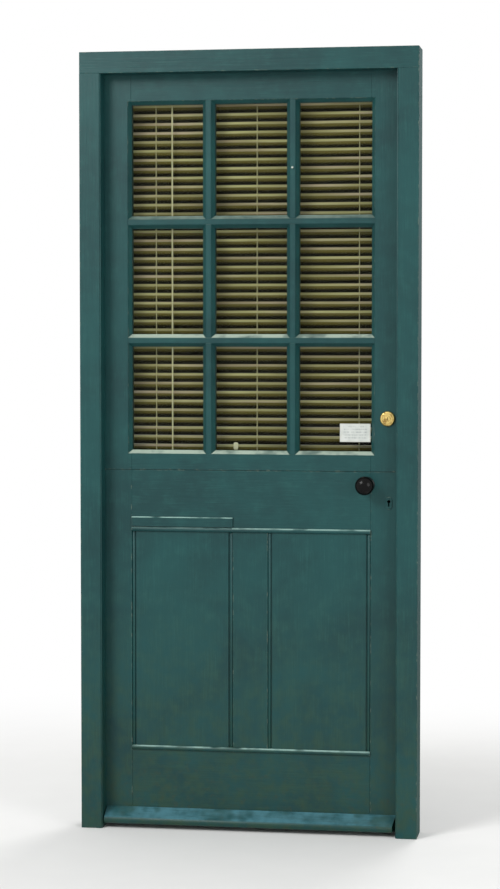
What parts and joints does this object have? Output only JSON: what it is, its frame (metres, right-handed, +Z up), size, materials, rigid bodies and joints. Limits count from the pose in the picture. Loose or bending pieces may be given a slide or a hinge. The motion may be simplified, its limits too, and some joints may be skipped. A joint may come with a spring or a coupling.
{
  "type": "stable door with frame",
  "caption": "Painted timber stable door in its frame: glazed upper leaf with glazing bars and blind, panelled lower leaf with weatherboard, both hung on butt hinges.",
  "frame": {"origin": "midway between the two dowel holes in the jamb feet, on the plane that the frame stands on", "axes": "+X to the right seen from outside (lock side), +Y into the house, +Z up"},
  "size_m": [0.909, 0.1905, 2.086],
  "materials": {
    "painted_timber": "satin dark teal paint",
    "painted_putty": "satin dark teal paint over putty",
    "pane_glass": "clear",
    "card": "matt",
    "pin_steel": "white enamel",
    "hinge_steel": "dull zinc",
    "lock_brass": "worn polish",
    "case_enamel": "satin enamel",
    "black_iron": "semi-gloss black",
    "painted_plate": "painted over",
    "blind_enamel": "satin cream enamel",
    "blind_cord": "braided",
    "wand_plastic": "glossy"
  },
  "bodies": {
    "frame": {"frame_head": "painted_timber", "frame_jamb_hinge": "painted_timber", "frame_jamb_lock": "painted_timber", "hinge_plates_frame": "hinge_steel", "hinge_pins": "hinge_steel", "frame_screws": "hinge_steel", "nightlatch_keep": "case_enamel", "rim_lock_keep": "black_iron"},
    "upper_leaf": {"upper_stile_hinge": "painted_timber", "upper_stile_lock": "painted_timber", "upper_top_rail": "painted_timber", "upper_foot_rail": "painted_timber", "bar_upright_left": "painted_timber", "bar_upright_right": "painted_timber", "bar_cross_low": "painted_timber", "bar_cross_high": "painted_timber", "panes_low_row": "pane_glass", "panes_middle_row": "pane_glass", "panes_high_row": "pane_glass", "putty_fillets": "painted_putty", "window_card": "card", "bar_pin": "pin_steel", "hinge_plates_upper": "hinge_steel", "upper_screws": "hinge_steel", "nightlatch_ring": "lock_brass", "nightlatch_cylinder": "lock_brass", "nightlatch_case": "case_enamel", "tower_bolt_keep": "black_iron", "blind_headrail": "blind_enamel", "blind_brackets": "blind_enamel", "blind_slats": "blind_enamel", "blind_ladders": "blind_cord", "blind_bottom_rail": "blind_enamel", "blind_wand": "wand_plastic"},
    "lower_leaf": {"lower_stile_hinge": "painted_timber", "lower_stile_lock": "painted_timber", "lower_top_rail": "painted_timber", "lower_bottom_rail": "painted_timber", "lower_muntin": "painted_timber", "panel_left": "painted_timber", "panel_right": "painted_timber", "panel_strips": "painted_timber", "weatherboard": "painted_timber", "hinge_plates_lower": "hinge_steel", "lower_screws": "hinge_steel", "rim_lock_case": "black_iron", "knob_rose": "black_iron", "keyhole_plate": "painted_plate", "tower_bolt_plate": "black_iron"},
    "nightlatch_bolt": {"nightlatch_bolt": "lock_brass"},
    "nightlatch_turn": {"nightlatch_turn": "case_enamel"},
    "nightlatch_plug": {"nightlatch_plug": "lock_brass"},
    "nightlatch_snib": {"nightlatch_snib": "case_enamel"},
    "rim_latch": {"rim_latch_bolt": "lock_brass"},
    "rim_dead_bolt": {"rim_dead_bolt": "lock_brass"},
    "knobs": {"knob_spindle": "black_iron", "outer_knob": "black_iron", "inner_knob": "black_iron"},
    "tower_bolt": {"tower_bolt_rod": "black_iron"}
  },
  "joints": [
    {"name": "upper_leaf_swing", "type": "hinge", "parent": "frame", "child": "upper_leaf", "pos_m": [-0.408, 0.054, 1.5], "axis": [0, 0, 1], "range_deg": [0, 100]},
    {"name": "lower_leaf_swing", "type": "hinge", "parent": "frame", "child": "lower_leaf", "pos_m": [-0.408, 0.054, 0.5], "axis": [0, 0, 1], "range_deg": [0, 100]},
    {"name": "nightlatch_turn_turn", "type": "hinge", "parent": "upper_leaf", "child": "nightlatch_turn", "pos_m": [0.3695, 0.08, 1.111], "axis": [0, 1, 0], "range_deg": [0, 60]},
    {"name": "nightlatch_bolt_slide", "type": "slide", "parent": "upper_leaf", "child": "nightlatch_bolt", "axis": [1, 0, 0], "range_m": [0, 0.014]},
    {"name": "key_plug_turn", "type": "hinge", "parent": "upper_leaf", "child": "nightlatch_plug", "pos_m": [0.3695, 0, 1.111], "axis": [0, 1, 0], "range_deg": [-90, 90]},
    {"name": "snib_slide", "type": "slide", "parent": "upper_leaf", "child": "nightlatch_snib", "axis": [1, 0, 0], "range_m": [0, 0.008]},
    {"name": "knob_turn", "type": "hinge", "parent": "lower_leaf", "child": "knobs", "pos_m": [0.313, 0.03, 0.935], "axis": [0, 1, 0], "range_deg": [0, 45]},
    {"name": "rim_latch_slide", "type": "slide", "parent": "lower_leaf", "child": "rim_latch", "axis": [1, 0, 0], "range_m": [0, 0.012]},
    {"name": "rim_dead_bolt_slide", "type": "slide", "parent": "lower_leaf", "child": "rim_dead_bolt", "axis": [1, 0, 0], "range_m": [0, 0.014]},
    {"name": "tower_bolt_slide", "type": "slide", "parent": "lower_leaf", "child": "tower_bolt", "axis": [0, 0, 1], "range_m": [0, 0.03]}
  ],
  "couplings": [
    {"joint": "nightlatch_bolt_slide", "follows": "nightlatch_turn_turn", "m_per_rad": 0.01336},
    {"joint": "rim_latch_slide", "follows": "knob_turn", "m_per_rad": 0.01527}
  ]
}
